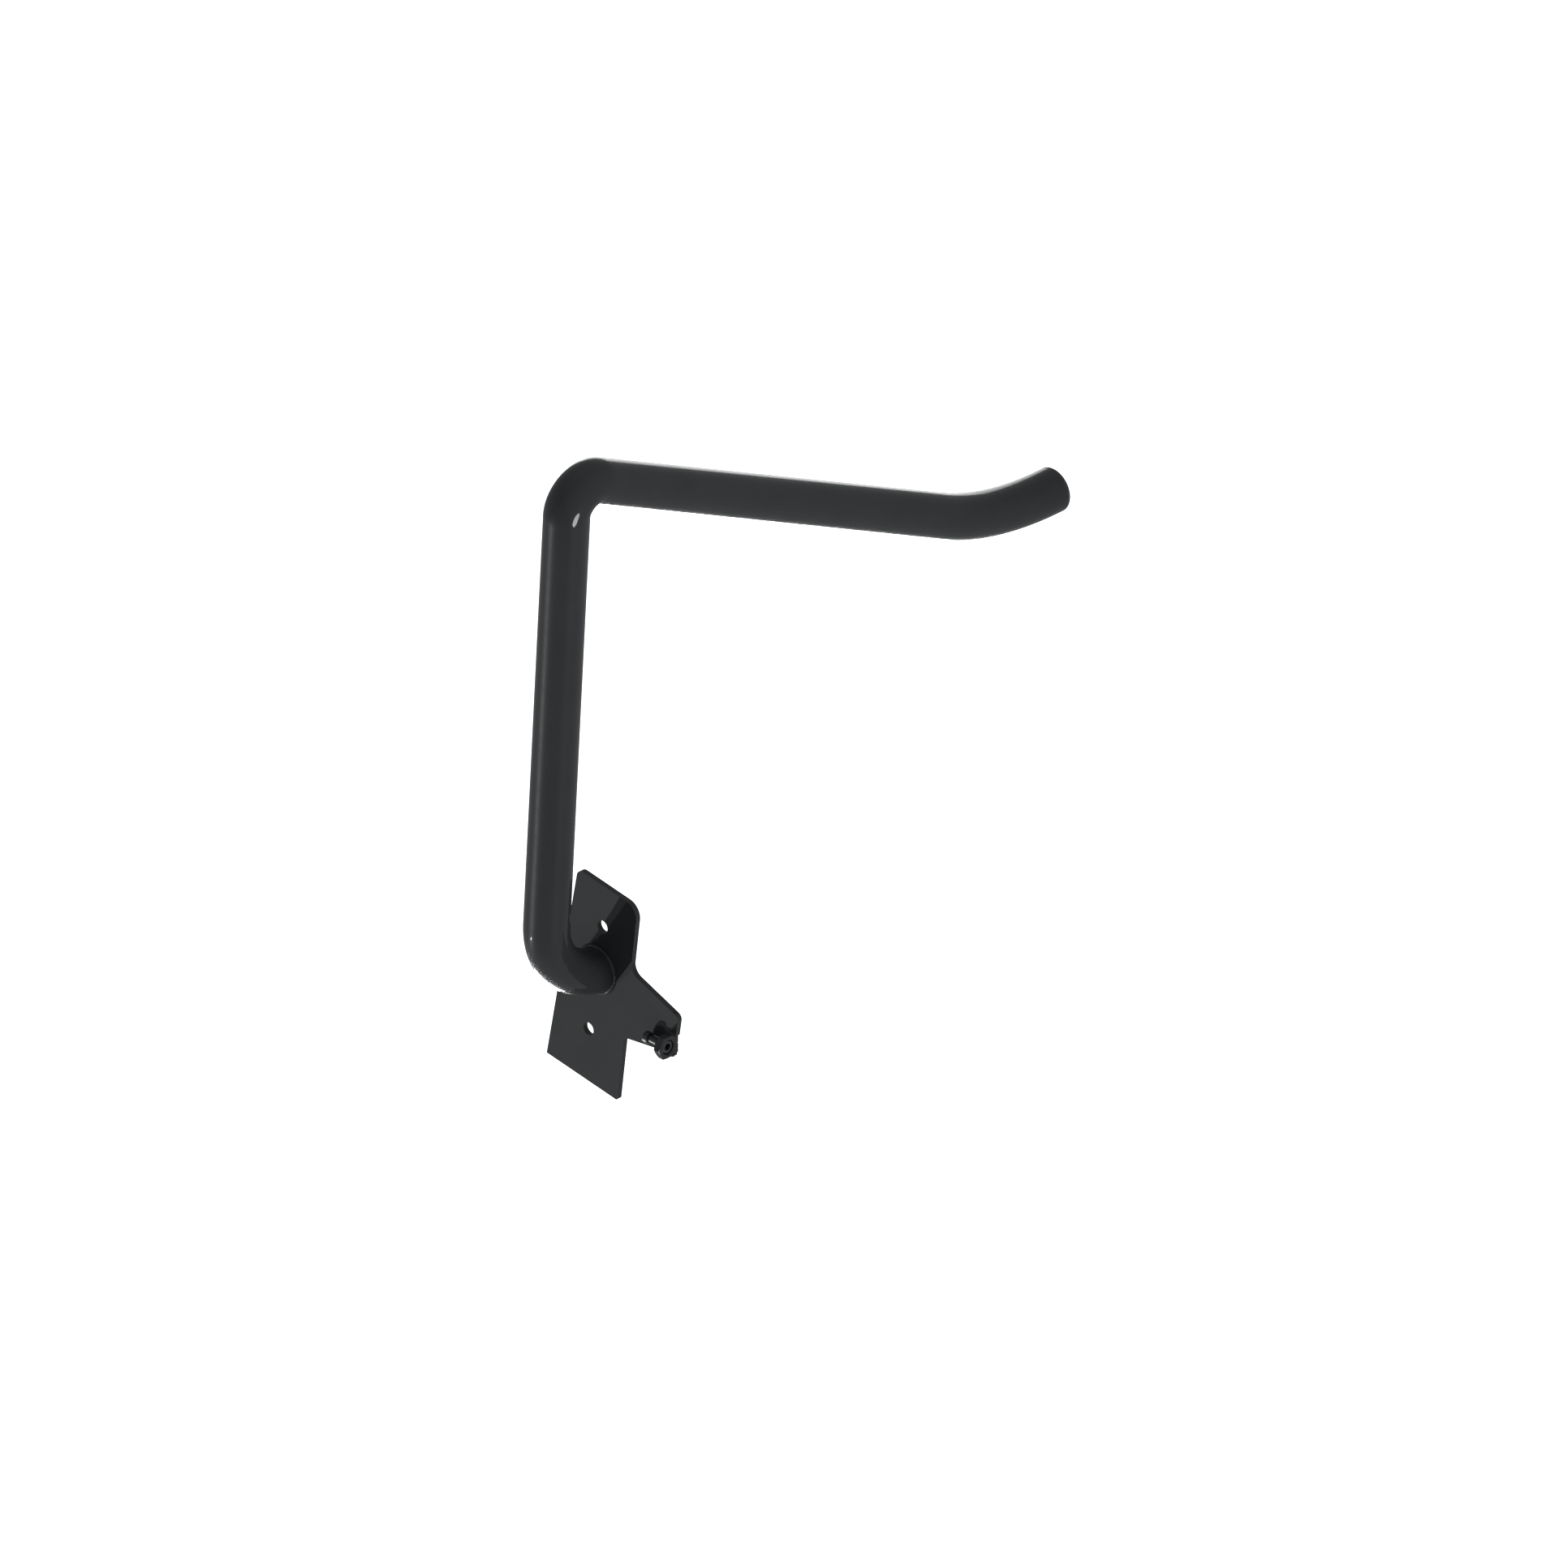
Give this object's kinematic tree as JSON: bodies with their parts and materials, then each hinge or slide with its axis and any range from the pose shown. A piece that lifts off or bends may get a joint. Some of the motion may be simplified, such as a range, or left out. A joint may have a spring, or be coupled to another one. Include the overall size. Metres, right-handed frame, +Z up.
{
  "type": "bed assist rail",
  "caption": "Bent steel tube handle with a sloping hand bar, welded to a hooked bed-frame mounting plate that carries a welded nut and a clamp screw with a swivel foot.",
  "frame": {"origin": "on the mounting plate's back face, midway between its two bolt holes", "axes": "+Y out of the plate's back face towards the bed frame, +Z up along the line of the bolt holes, +X along the plate towards the clamp arm; the tube's centreline lies in the plane X = 0"},
  "size_m": [0.1121, 0.513, 0.5441],
  "materials": {
    "coated_steel": "charcoal powder coat, satin",
    "plug_plastic": "moulded, fine matt",
    "blackened_steel": "black oxide, satin",
    "spring_steel": "bright wire"
  },
  "bodies": {
    "rail": {"mounting_plate": "coated_steel", "rail_tube": "coated_steel", "tube_weld": "coated_steel", "end_plug": "plug_plastic", "clamp_nut": "coated_steel", "upper_nut_weld": "coated_steel", "lower_nut_weld": "coated_steel"},
    "foot": {"pressure_foot": "blackened_steel", "foot_snap_ring": "spring_steel"},
    "screw": {"clamp_screw": "blackened_steel"}
  },
  "joints": [
    {"name": "foot_slide", "type": "slide", "parent": "rail", "child": "foot", "axis": [-0.9885, 0, -0.1513], "range_m": [-0.006, 0.0024]},
    {"name": "screw_turn", "type": "hinge", "parent": "foot", "child": "screw", "pos_m": [0.0772, -0.0095, -0.0101], "axis": [-0.9885, 0, -0.1513], "range_deg": [-1440, 576]}
  ],
  "couplings": [
    {"joint": "screw_turn", "follows": "foot_slide", "rad_per_m": 4188.8}
  ]
}
